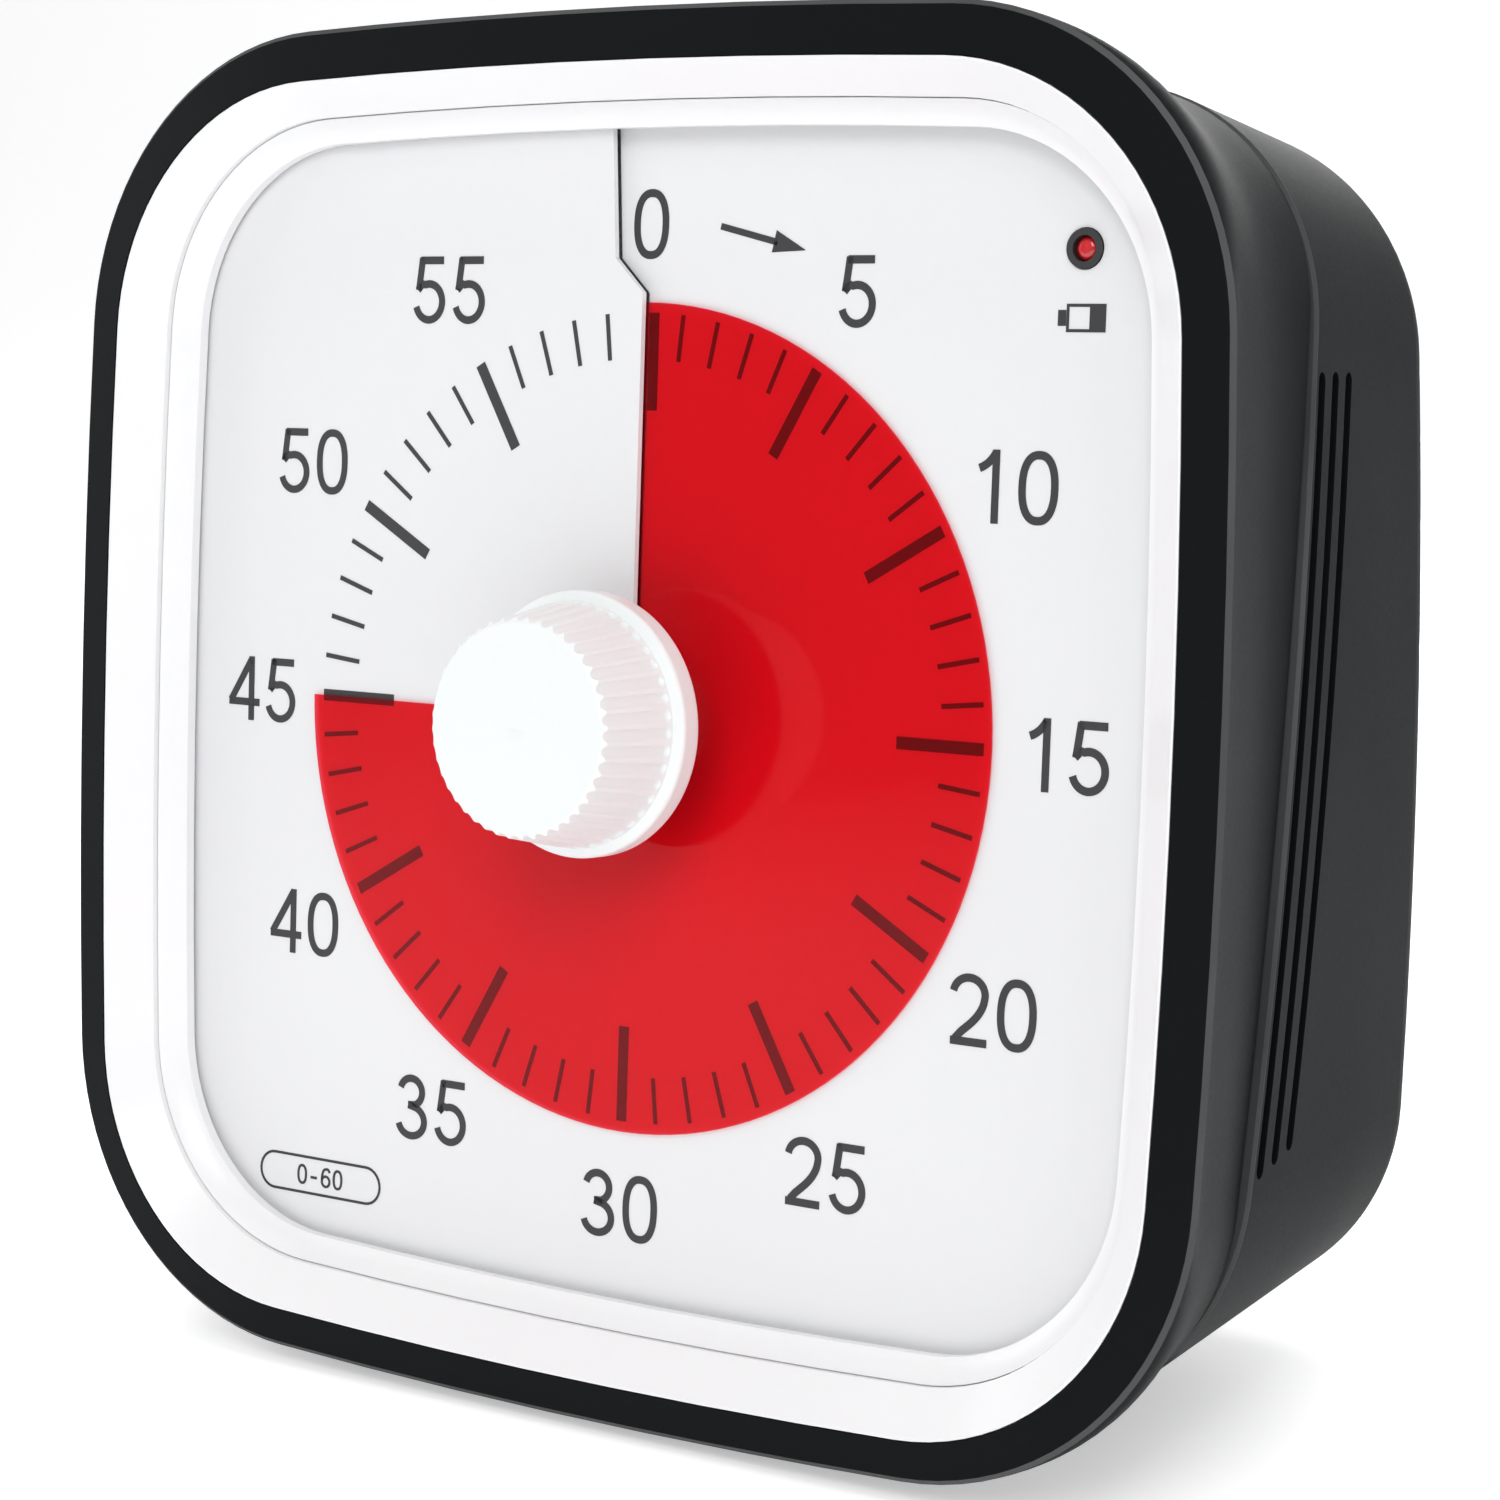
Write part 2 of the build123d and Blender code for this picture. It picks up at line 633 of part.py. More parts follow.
with BuildPart() as wheel_arbors:
    for centre in (fourth_centre, third_centre, second_centre):
        add(rod(*centre, arbor_radius, cavity_front + 0.8, cavity_back - 0.8))
    add(rod(*rotor_centre, rotor_arbor_radius, cavity_front + 0.8, cavity_back - 0.8))
pieces["wheel_arbors"] = wheel_arbors

arbor_sockets = [(fourth_centre, arbor_radius), (third_centre, arbor_radius),
                 (second_centre, arbor_radius), (rotor_centre, rotor_arbor_radius)]

with BuildPart() as movement_front:
    add(bar_box((-movement_half, movement_half), (-movement_half, movement_half), carrier_back, movement_split))
    add(bar_box((-cavity_half, cavity_half), (-cavity_half, cavity_half), cavity_front, movement_split),
        mode=Mode.SUBTRACT)
    for x, up in movement_screws_at:
        add(rod(x, up, 2.6, cavity_front, movement_split))
        add(rod(x, up, movement_screw_radius + 0.1, carrier_back, movement_split), mode=Mode.SUBTRACT)
    for centre, radius in arbor_sockets:
        add(rod(*centre, radius, cavity_front + 0.8, cavity_front), mode=Mode.SUBTRACT)
    add(rod(0, 0, shaft_radius + running_gap, carrier_back, cavity_front), mode=Mode.SUBTRACT)
pieces["movement_front"] = movement_front

with BuildPart() as movement_rear:
    add(bar_box((-movement_half, movement_half), (-movement_half, movement_half), movement_split, movement_back))
    add(bar_box((-cavity_half, cavity_half), (-cavity_half, cavity_half), movement_split, cavity_back),
        mode=Mode.SUBTRACT)
    for x, up in movement_screws_at:
        add(rod(x, up, 2.6, movement_split, cavity_back))
        add(rod(x, up, movement_screw_radius + 0.1, movement_split, movement_back), mode=Mode.SUBTRACT)
    for centre, radius in arbor_sockets:
        add(rod(*centre, radius, cavity_back, cavity_back - 0.8), mode=Mode.SUBTRACT)
    add(rod(0, 0, shaft_radius + running_gap, cavity_back, cavity_back - 0.9), mode=Mode.SUBTRACT)
pieces["movement_rear"] = movement_rear

with BuildPart() as movement_screws:
    for x, up in movement_screws_at:
        add(rod(x, up, movement_screw_radius, carrier_front - 0.2, movement_back))
        add(rod(x, up, 1.9, movement_back, movement_back - 1.3))
pieces["movement_screws"] = movement_screws

core_front, core_back = -20.9, -23.1
stator_front, stator_back = -23.1, -23.9
coil_x = 19.0
coil_level = -22.0

with BuildPart() as stator:
    add(bar_box((3.8, 22.0), (rotor_centre[1] - 5.5, rotor_centre[1] + 5.5), stator_front, stator_back))
    add(bar_box((3.8, 8.2), (-24.0, rotor_centre[1]), stator_front, stator_back))
    add(bar_box((3.8, 22.0), (-24.0, -19.5), stator_front, stator_back))
    add(rod(*rotor_centre, 3.3, stator_front, stator_back), mode=Mode.SUBTRACT)
pieces["stator"] = stator

with BuildPart() as coil_core:
    add(bar_box((coil_x - 1.5, coil_x + 1.5), (-23.0, 11.0), core_front, core_back))
pieces["coil_core"] = coil_core

with BuildPart() as coil_bobbin:
    for low, high, radius in ((-16.0, -14.8, 3.9), (-14.8, 2.8, 2.3), (2.8, 4.0, 3.9)):
        with BuildSketch(Plane(origin=dial.from_local_coords((coil_x, low, coil_level)),
                               x_dir=dial.x_dir, z_dir=dial.y_dir)):
            Circle(radius)
        extrude(amount=high - low)
    add(bar_box((coil_x - 1.5, coil_x + 1.5), (-17.0, 5.0), core_front, core_back), mode=Mode.SUBTRACT)
pieces["coil_bobbin"] = coil_bobbin

with BuildPart() as coil_winding:
    with BuildSketch(Plane(origin=dial.from_local_coords((coil_x, -14.8, coil_level)),
                           x_dir=dial.x_dir, z_dir=dial.y_dir)):
        Circle(3.6)
        Circle(2.3, mode=Mode.SUBTRACT)
    extrude(amount=17.6)
pieces["coil_winding"] = coil_winding

# Knob, its shaft and the friction clutch ----------------------------------------------------------

washer_back, washer_front = -10.93, -10.63
clip_back, clip_front = -10.6, -10.1
groove_radius = 2.5
shoulder_radius = 4.5
knob_base, collar_back, collar_front = 3.8, 8.5, 11.9
barrel_back, barrel_front, knob_face = 12.5, 22.9, 23.5
collar_radius = 16.2
barrel_root, barrel_tip = 15.0, 13.15
bore_end = 20.0
flute_count = 44
flute_radius = 0.95
flute_lift = 0.38           # centre of a flute outside the barrel

barrel_slope = degrees(atan2(barrel_root - barrel_tip, barrel_front - barrel_back))

with BuildPart() as flute:
    with Locations(Location((barrel_root + flute_lift, 0, barrel_back + 1.1), (0, -barrel_slope, 0))):
        Cylinder(flute_radius, 14, align=(Align.CENTER, Align.CENTER, Align.MIN))
        Sphere(flute_radius)

knob_profile = [(0, bore_end), (shaft_radius, bore_end), (shaft_radius, knob_base), (7.0, knob_base),
                (7.0, collar_back), (collar_radius, collar_back), (collar_radius, collar_front),
                (barrel_root, barrel_back), (barrel_tip, barrel_front), (12.5, knob_face), (0, knob_face + 0.15)]

with BuildPart() as knob:
    with BuildSketch(Plane.XZ) as knob_section:
        with BuildLine():
            Polyline(*knob_profile, close=True)
        make_face()
        rounded = [corner for corner in knob_section.vertices() if abs(corner.X - collar_radius) < 0.01]
        fillet(rounded, 0.8)
    revolve(axis=Axis.Z)
    with PolarLocations(0, flute_count):
        add(flute.part, mode=Mode.SUBTRACT)
knob.part = dial.location * knob.part
pieces["knob"] = knob

with BuildPart() as knob_shaft:
    add(rod(0, 0, shaft_radius, bore_end, cavity_back - 0.8))
    add(rod(0, 0, shoulder_radius, output_levels[1] - running_gap, output_levels[1] - running_gap - 1.0))
    add(rod(0, 0, shaft_radius, clip_front, clip_back), mode=Mode.SUBTRACT)
    add(rod(0, 0, groove_radius, clip_front, clip_back))
pieces["knob_shaft"] = knob_shaft

with BuildPart() as clutch_washer:
    with BuildSketch(dial.offset(washer_back)):
        Circle(5.0)
        Circle(shaft_radius + 0.02, mode=Mode.SUBTRACT)
    extrude(amount=washer_front - washer_back)
pieces["clutch_washer"] = clutch_washer

with BuildPart() as retaining_clip:
    with BuildSketch(dial.offset(clip_back)):
        Circle(4.4)
        Circle(groove_radius, mode=Mode.SUBTRACT)
        with Locations((0, -4.0)):
            Rectangle(3.4, 4.5, mode=Mode.SUBTRACT)
    extrude(amount=clip_front - clip_back)
pieces["retaining_clip"] = retaining_clip

# Red film on its hub ------------------------------------------------------------------------------

with BuildPart() as film_hub:
    add(rod(0, 0, hub_radius, 3.0, -4.0))
    add(rod(0, 0, shaft_radius + running_gap, 4.0, -5.0), mode=Mode.SUBTRACT)
pieces["film_hub"] = film_hub

with BuildPart() as red_film:
    add(spiral_sheet(film_setting - film_span, film_span, hub_radius, film_radius,
                     dial_front(0) + film_clearance, film_thickness))
pieces["red_film"] = red_film

for name, piece in pieces.items():
    piece.part.label = name
    export_step(piece.part, f"parts/{name}.step")

print(len(pieces), "pieces")
print("knob face at y", dial.from_local_coords((0, -12.5, knob_face)).Y, "rear face at y", rear_y)
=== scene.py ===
import json
from math import atan2, cos, degrees, pi, radians, sin, sqrt

import bmesh
import bpy
from mathutils import Matrix, Vector


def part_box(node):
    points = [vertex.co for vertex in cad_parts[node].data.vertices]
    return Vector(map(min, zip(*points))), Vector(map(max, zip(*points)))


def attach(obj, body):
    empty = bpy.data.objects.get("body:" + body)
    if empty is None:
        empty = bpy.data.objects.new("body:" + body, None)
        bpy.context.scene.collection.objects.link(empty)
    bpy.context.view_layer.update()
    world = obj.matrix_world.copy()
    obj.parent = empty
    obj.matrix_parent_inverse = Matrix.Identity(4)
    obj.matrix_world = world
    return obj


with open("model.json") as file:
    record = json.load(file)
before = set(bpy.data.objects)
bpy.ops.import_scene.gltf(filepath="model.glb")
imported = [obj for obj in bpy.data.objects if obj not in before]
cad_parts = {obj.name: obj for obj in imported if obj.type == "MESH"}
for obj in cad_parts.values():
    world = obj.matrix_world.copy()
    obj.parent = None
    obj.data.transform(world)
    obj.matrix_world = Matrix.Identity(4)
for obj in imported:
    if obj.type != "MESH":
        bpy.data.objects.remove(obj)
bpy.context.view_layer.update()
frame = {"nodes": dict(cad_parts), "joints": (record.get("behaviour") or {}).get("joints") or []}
nodes = frame["nodes"]
mm = 0.001

# the dial's own directions come from the hinge of the knob
knobHinge = next(joint for joint in frame["joints"] if joint["name"] == "timer_turn")
dialOrigin = Vector(knobHinge["pos_m"])
dialInward = Vector(knobHinge["axis"]).normalized()
dialAcross = Vector((1, 0, 0))
dialUp = dialAcross.cross(dialInward).normalized()


def dialPoint(x, up, level):
    # millimetres across, up and out of the dial, to metres
    return dialOrigin + (dialAcross * x + dialUp * up - dialInward * level) * mm


def dialVector(across, inward, up):
    return dialAcross * across + dialInward * inward + dialUp * up


cameraLook = {
    "turn": 34.33,       # degrees round to the right of the dial
    "rise": 4.71,        # degrees above the dial's centre line
    "roll": 1.87,
    "distance": 444.6,   # millimetres
    "sideways": -14.38,
    "upwards": 3.645,
    "lens": 86.55,
    "sensor": 36,        # its width, millimetres
    "nearest": 10,       # millimetres
}


def makeCamera(look):
    turn, rise, roll = radians(look["turn"]), radians(look["rise"]), radians(look["roll"])
    back = dialVector(sin(turn) * cos(rise), -cos(turn) * cos(rise), sin(rise))
    right = dialVector(cos(turn), sin(turn), 0)
    upright = back.cross(right)
    rolledRight = right * cos(roll) + upright * sin(roll)
    rolledUp = upright * cos(roll) - right * sin(roll)
    spot = dialOrigin + (back * look["distance"] - rolledRight * look["sideways"]
                         - rolledUp * look["upwards"]) * mm
    camera = bpy.data.objects.new("camera", bpy.data.cameras.new("camera"))
    bpy.context.scene.collection.objects.link(camera)
    camera.data.lens = look["lens"]
    camera.data.sensor_width = look["sensor"]
    camera.data.clip_start = look["nearest"] * mm
    axes = Matrix((rolledRight, rolledUp, back)).transposed().to_4x4()
    camera.matrix_world = Matrix.Translation(spot) @ axes
    bpy.context.scene.camera = camera


makeCamera(cameraLook)
print("camera in place")


class Wire:
    # a socket of a material's nodes; arithmetic on it adds Math nodes
    def __init__(self, tree, socket=None):
        self.tree = tree
        self.socket = socket

    def add(self, kind, settings=None, values=None, output=0):
        made = self.tree.nodes.new(kind)
        for name, value in (settings or {}).items():
            setattr(made, name, value)
        for name, value in (values or {}).items():
            if isinstance(value, Wire):
                self.tree.links.new(value.socket, made.inputs[name])
            else:
                made.inputs[name].default_value = value
        return Wire(self.tree, made.outputs[output])

    def maths(self, operation, first, second=0.0):
        return self.add("ShaderNodeMath", {"operation": operation}, {0: first, 1: second})

    def __add__(self, other):
        return self.maths("ADD", self, other)

    def __radd__(self, other):
        return self.maths("ADD", other, self)

    def __sub__(self, other):
        return self.maths("SUBTRACT", self, other)

    def __rsub__(self, other):
        return self.maths("SUBTRACT", other, self)

    def __mul__(self, other):
        return self.maths("MULTIPLY", self, other)

    def __rmul__(self, other):
        return self.maths("MULTIPLY", other, self)


def rgba(colour):
    return (*colour, 1.0)


def newMaterial(name):
    material = bpy.data.materials.new(name)
    material.use_nodes = True
    material.node_tree.nodes.clear()
    return material, Wire(material.node_tree)


def finishMaterial(material, shader):
    end = material.node_tree.nodes.new("ShaderNodeOutputMaterial")
    material.node_tree.links.new(shader.socket, end.inputs["Surface"])
    return material


def between(wire, mask, first, second):
    # a colour that goes from the first to the second with the mask
    return wire.add("ShaderNodeMix", {"data_type": "RGBA"},
                    {"Factor": mask, "A": first, "B": second}, 2)


def noise(wire, place, size, detail=2.0, roughness=0.5):
    # cloudy variation of about that size in millimetres
    return wire.add("ShaderNodeTexNoise", {}, {"Vector": place, "Scale": 1 / (size * mm),
                    "Detail": detail, "Roughness": roughness}, "Fac")


def objectPlace(wire):
    return wire.add("ShaderNodeTexCoord", {}, {}, "Object")


def bumps(wire, depth, height):
    # relief of that depth in millimetres
    return wire.add("ShaderNodeBump", {},
                    {"Strength": 1.0, "Distance": depth * mm, "Height": height})


# one entry per moulded finish: colour, second colour of its clouds, roughness and how much that
# varies, the grain's size and depth in millimetres, its coat, how strongly light enters the
# surface, and how strongly it reflects where that isn't the usual half
mouldedFinishes = {
    "black_shell": {
        "colour": (0.0044, 0.0056, 0.0064), "cloud": (0.0064, 0.0076, 0.0084), "rough": 0.50,
        "vary": 0.10, "grain": 0.35, "depth": 0.012, "coat": 0.0, "inside": 0.0, "gloss": 0.04},
    "white_rim": {
        "colour": (0.77, 0.77, 0.78), "cloud": (0.79, 0.79, 0.80), "rough": 0.30,
        "vary": 0.015, "grain": 0.8, "depth": 0.0008, "coat": 0.04, "inside": 0.04},
    "dial_sheet": {
        "colour": (0.69, 0.695, 0.705), "cloud": (0.71, 0.715, 0.725), "rough": 0.38,
        "vary": 0.03, "grain": 0.9, "depth": 0.002, "coat": 0.05, "inside": 0.02},
    "white_knob": {
        "colour": (0.72, 0.75, 0.75), "cloud": (0.75, 0.78, 0.78), "rough": 0.40,
        "vary": 0.06, "grain": 0.5, "depth": 0.005, "coat": 0.03, "inside": 0.04},
    "white_inner": {
        "colour": (0.66, 0.66, 0.64), "cloud": (0.72, 0.72, 0.70), "rough": 0.5,
        "vary": 0.1, "grain": 1.2, "depth": 0.01, "coat": 0.0, "inside": 0.0},
    "acetal_gear": {
        "colour": (0.72, 0.69, 0.60), "cloud": (0.78, 0.75, 0.67), "rough": 0.42,
        "vary": 0.1, "grain": 0.6, "depth": 0.006, "coat": 0.0, "inside": 0.08},
    "movement_case": {
        "colour": (0.05, 0.052, 0.055), "cloud": (0.07, 0.07, 0.072), "rough": 0.5,
        "vary": 0.1, "grain": 0.4, "depth": 0.01, "coat": 0.0, "inside": 0.0},
    "black_inner": {
        "colour": (0.02, 0.02, 0.021), "cloud": (0.032, 0.032, 0.033), "rough": 0.46,
        "vary": 0.12, "grain": 0.5, "depth": 0.008, "coat": 0.0, "inside": 0.0},
    "foot_rubber": {
        "colour": (0.022, 0.022, 0.022), "cloud": (0.035, 0.034, 0.033), "rough": 0.82,
        "vary": 0.1, "grain": 0.25, "depth": 0.02, "coat": 0.0, "inside": 0.0},
    "chip_epoxy": {
        "colour": (0.012, 0.012, 0.013), "cloud": (0.02, 0.02, 0.02), "rough": 0.62,
        "vary": 0.12, "grain": 0.15, "depth": 0.01, "coat": 0.0, "inside": 0.0},
    "switch_white": {
        "colour": (0.74, 0.74, 0.73), "cloud": (0.80, 0.80, 0.79), "rough": 0.4,
        "vary": 0.08, "grain": 0.4, "depth": 0.01, "coat": 0.0, "inside": 0.0},
    "print_ink": {
        "colour": (0.018, 0.018, 0.020), "cloud": (0.035, 0.035, 0.038), "rough": 0.55,
        "vary": 0.1, "grain": 0.12, "depth": 0.003, "coat": 0.0, "inside": 0.0},
}


# painted highlights: lighter bands painted along the two moulded edges where the case halves were
# trimmed, standing in for the shine of their chamfers: how far in front of the dial, how much that
# falls per millimetre up the dial, and the colour of the painted highlight
paintedHighlightLook = {
    "front_frame": {"level": 8.85, "fall": 0.0, "half": 0.27, "colour": (0.085, 0.087, 0.088)},
    "rear_shell": {"level": -18.45, "fall": 0.0910, "half": 0.30, "colour": (0.075, 0.077, 0.078)},
}


# what the moulded finishes share
mouldedLook = {
    "cloudSize": 38.0,       # millimetres
    "speckSize": 1.6,        # times the size of the grain
    "cloudShare": 0.7,       # how far clouds and specks change the colour
    "speckShare": 0.3,
    "coatRough": 0.12,
    "index": 1.49,
    "inside": 2.0,           # how far light goes in, millimetres
    "gloss": 0.5,
    "paintedHighlightLeast": 0.35,       # strength of the painted highlight on the edges where the clouds are thin
    "paintedHighlightClouds": 0.9,       # what full clouds add to it
}


def edgeMask(wire, place, look):
    # one on the band of painted highlight along the edge, nothing elsewhere
    outwards = (dialUp * look["fall"] - dialInward).normalized()
    start = dialPoint(0, 0, look["level"]).dot(outwards)
    along = wire.add("ShaderNodeVectorMath", {"operation": "DOT_PRODUCT"},
                     {0: place, 1: outwards}, "Value")
    return wire.maths("LESS_THAN", wire.maths("ABSOLUTE", along - start), look["half"] * mm)


def mouldedMaterial(name, look, edge=None):
    shared = mouldedLook
    material, wire = newMaterial(name)
    place = objectPlace(wire)
    clouds = noise(wire, place, shared["cloudSize"], 3.0)
    specks = noise(wire, place, look["grain"] * shared["speckSize"])
    mottle = clouds * shared["cloudShare"] + specks * shared["speckShare"]
    colour = between(wire, mottle, rgba(look["colour"]), rgba(look["cloud"]))
    # with an edge given, a painted highlight: a lighter band along it stands in for the shine of
    # its chamfer
    if edge:
        strength = shared["paintedHighlightLeast"] + clouds * shared["paintedHighlightClouds"]
        colour = between(wire, edgeMask(wire, place, edge) * strength, colour,
                         rgba(edge["colour"]))
    roughness = look["rough"] + (clouds - 0.5) * look["vary"] + (specks - 0.5) * look["vary"]
    grain = noise(wire, place, look["grain"], 3.0, 0.6)
    bump = bumps(wire, look["depth"], grain)
    shader = wire.add("ShaderNodeBsdfPrincipled", {}, {
        "Base Color": colour, "Roughness": roughness, "Normal": bump,
        "Coat Weight": look["coat"], "Coat Roughness": shared["coatRough"], "IOR": shared["index"],
        "Specular IOR Level": look.get("gloss", shared["gloss"]),
        "Subsurface Weight": look["inside"], "Subsurface Scale": shared["inside"] * mm})
    return finishMaterial(material, shader)


# metals: colour, the colour of the stains, roughness and the brush marks' size in millimetres
metalFinishes = {
    "plated_steel": {"colour": (0.58, 0.58, 0.57), "dull": (0.42, 0.42, 0.41),
                     "rough": 0.3, "mark": 0.2},
    "black_steel": {"colour": (0.10, 0.10, 0.105), "dull": (0.05, 0.05, 0.05),
                    "rough": 0.4, "mark": 0.3},
    "nickel_strip": {"colour": (0.70, 0.67, 0.60), "dull": (0.55, 0.52, 0.46),
                     "rough": 0.2, "mark": 0.4},
    "magnet_black": {"colour": (0.14, 0.14, 0.15), "dull": (0.08, 0.08, 0.08),
                     "rough": 0.5, "mark": 0.1},
}


# what the metals share, sizes in millimetres
brushLook = {"stretch": 12, "stainSize": 4.0, "stains": 0.5, "marks": 0.4, "depth": 0.004,
             "vary": 0.2}


def metalMaterial(name, look):
    material, wire = newMaterial(name)
    place = objectPlace(wire)
    stretched = wire.add("ShaderNodeMapping", {}, {
        "Vector": place, "Scale": (1, 1, brushLook["stretch"])})
    marks = noise(wire, stretched, look["mark"])
    stains = noise(wire, place, brushLook["stainSize"], 3.0)
    tarnish = stains * brushLook["stains"] + marks * brushLook["marks"]
    colour = between(wire, tarnish, rgba(look["colour"]), rgba(look["dull"]))
    bump = bumps(wire, brushLook["depth"], marks)
    shader = wire.add("ShaderNodeBsdfPrincipled", {}, {
        "Base Color": colour, "Metallic": 1.0, "Normal": bump,
        "Roughness": look["rough"] + (stains - 0.5) * brushLook["vary"]})
    return finishMaterial(material, shader)


filmLook = {
    "tint": (1.0, 0.27, 0.35),         # what one face lets through
    "body": (1.0, 0.004, 0.014),       # what the film itself scatters
    "cloudy": 0.05,                    # share of the light that it scatters, at each face
    "cloudyVary": 0.01,
    "bodyRough": 0.4,
    "rough": 0.06,
    "shine": 1.24,                     # refractive index that sets how much it reflects
    "ripple": 16.0,                    # size and depth of its ripples, millimetres
    "depth": 0.02,
    "shade": 0.96,                     # how dark the ripples make the body's colour
}


def filmMaterial(look):
    material, wire = newMaterial("red_film")
    place = objectPlace(wire)
    ripple = noise(wire, place, look["ripple"])
    bump = bumps(wire, look["depth"], ripple)
    through = wire.add("ShaderNodeBsdfTransparent", {}, {"Color": rgba(look["tint"])})
    cloudy = look["cloudy"] + (ripple - 0.5) * look["cloudyVary"]
    shaded = tuple(part * look["shade"] for part in look["body"])
    colour = between(wire, ripple, rgba(look["body"]), rgba(shaded))
    solid = wire.add("ShaderNodeBsdfPrincipled", {}, {
        "Base Color": colour, "Roughness": look["bodyRough"], "Specular IOR Level": 0.0})
    sheet = wire.add("ShaderNodeMixShader", {}, {0: cloudy, 1: through, 2: solid})
    shine = wire.add("ShaderNodeBsdfPrincipled", {}, {
        "Base Color": rgba((1.0, 1.0, 1.0)), "Metallic": 1.0, "Roughness": look["rough"],
        "Normal": bump})
    edge = wire.add("ShaderNodeFresnel", {}, {"IOR": look["shine"], "Normal": bump})
    film = wire.add("ShaderNodeMixShader", {}, {0: edge, 1: sheet, 2: shine})
    return finishMaterial(material, film)


lampLook = {"lit": (0.75, 0.015, 0.02), "core": (0.30, 0.004, 0.006), "rough": 0.08, "vary": 0.06,
            "cloudSize": 1.2, "index": 1.54, "coat": 0.6, "coatRough": 0.03}


def lampMaterial(look):
    material, wire = newMaterial("lamp_red")
    place = objectPlace(wire)
    clouds = noise(wire, place, look["cloudSize"])
    colour = between(wire, clouds, rgba(look["lit"]), rgba(look["core"]))
    shader = wire.add("ShaderNodeBsdfPrincipled", {}, {
        "Base Color": colour, "Roughness": look["rough"] + clouds * look["vary"],
        "IOR": look["index"], "Coat Weight": look["coat"], "Coat Roughness": look["coatRough"]})
    return finishMaterial(material, shader)


boardLook = {"mask": (0.012, 0.10, 0.035), "track": (0.03, 0.19, 0.07), "cell": 4.0,
             "trackWidth": 0.09, "depth": 0.03, "rough": 0.35, "trackRough": 0.1}


def boardMaterial(look):
    material, wire = newMaterial("board_green")
    place = objectPlace(wire)
    edges = wire.add("ShaderNodeTexVoronoi", {"feature": "DISTANCE_TO_EDGE"},
                     {"Vector": place, "Scale": 1 / (look["cell"] * mm)}, "Distance")
    tracks = wire.maths("LESS_THAN", edges, look["trackWidth"])
    colour = between(wire, tracks, rgba(look["mask"]), rgba(look["track"]))
    bump = bumps(wire, look["depth"], tracks)
    shader = wire.add("ShaderNodeBsdfPrincipled", {}, {
        "Base Color": colour, "Roughness": look["rough"] + tracks * look["trackRough"],
        "Normal": bump})
    return finishMaterial(material, shader)


# painted shade: the grooves between the turns of wire get a darker copper that stands in for their
# shade
coilLook = {"wire": (0.45, 0.14, 0.05), "gap": (0.16, 0.04, 0.015), "pitch": 0.35, "depth": 0.08,
            "uneven": 0.3, "rough": 0.3, "gapRough": 0.2}


def coilMaterial(look):
    material, wire = newMaterial("copper_wire")
    place = objectPlace(wire)
    # the texture itself multiplies places by 20
    turns = wire.add("ShaderNodeTexWave", {"bands_direction": "Z"}, {
        "Vector": place, "Scale": 1 / (look["pitch"] * mm) / 20,
        "Distortion": look["uneven"]}, "Fac")
    # painted shade between the turns, the wire's own copper on the turns
    colour = between(wire, turns, rgba(look["gap"]), rgba(look["wire"]))
    bump = bumps(wire, look["depth"], turns)
    shader = wire.add("ShaderNodeBsdfPrincipled", {}, {
        "Base Color": colour, "Metallic": 1.0, "Normal": bump,
        "Roughness": look["rough"] + (1 - turns) * look["gapRough"]})
    return finishMaterial(material, shader)


cellLook = {"sleeve": (0.02, 0.06, 0.14), "band": (0.55, 0.36, 0.12), "bandWidth": 13.0,
            "bandMetal": 0.7, "scuffSize": 3.0, "rough": 0.25, "vary": 0.1, "coat": 0.4,
            "coatRough": 0.08}


def cellMaterial(look):
    # each sleeve has a copper-coloured band at its positive end, left on one cell and right on
    # the other
    material, wire = newMaterial("cell_sleeve")
    place = objectPlace(wire)
    sideways = wire.add("ShaderNodeSeparateXYZ", {}, {"Vector": place}, "X")
    height = wire.add("ShaderNodeSeparateXYZ", {}, {"Vector": place}, "Z")
    low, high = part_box("battery_cells")
    side = wire.maths("SIGN", (low.z + high.z) / 2 - height)
    band = wire.maths("GREATER_THAN", sideways * side, high.x - look["bandWidth"] * mm)
    colour = between(wire, band, rgba(look["sleeve"]), rgba(look["band"]))
    scuffs = noise(wire, place, look["scuffSize"], 3.0)
    shader = wire.add("ShaderNodeBsdfPrincipled", {}, {
        "Base Color": colour, "Roughness": look["rough"] + scuffs * look["vary"],
        "Metallic": band * look["bandMetal"], "Coat Weight": look["coat"],
        "Coat Roughness": look["coatRough"]})
    return finishMaterial(material, shader)


materials = {name: mouldedMaterial(name, look) for name, look in mouldedFinishes.items()}
# the front frame and rear shell: the black finish with a painted highlight along their trimmed
# edges
materials.update({name: mouldedMaterial(name, mouldedFinishes["black_shell"], edge)
                  for name, edge in paintedHighlightLook.items()})
materials.update({name: metalMaterial(name, look) for name, look in metalFinishes.items()})
materials["red_film"] = filmMaterial(filmLook)
materials["lamp_red"] = lampMaterial(lampLook)
materials["board_green"] = boardMaterial(boardLook)
materials["copper_wire"] = coilMaterial(coilLook)
materials["cell_sleeve"] = cellMaterial(cellLook)

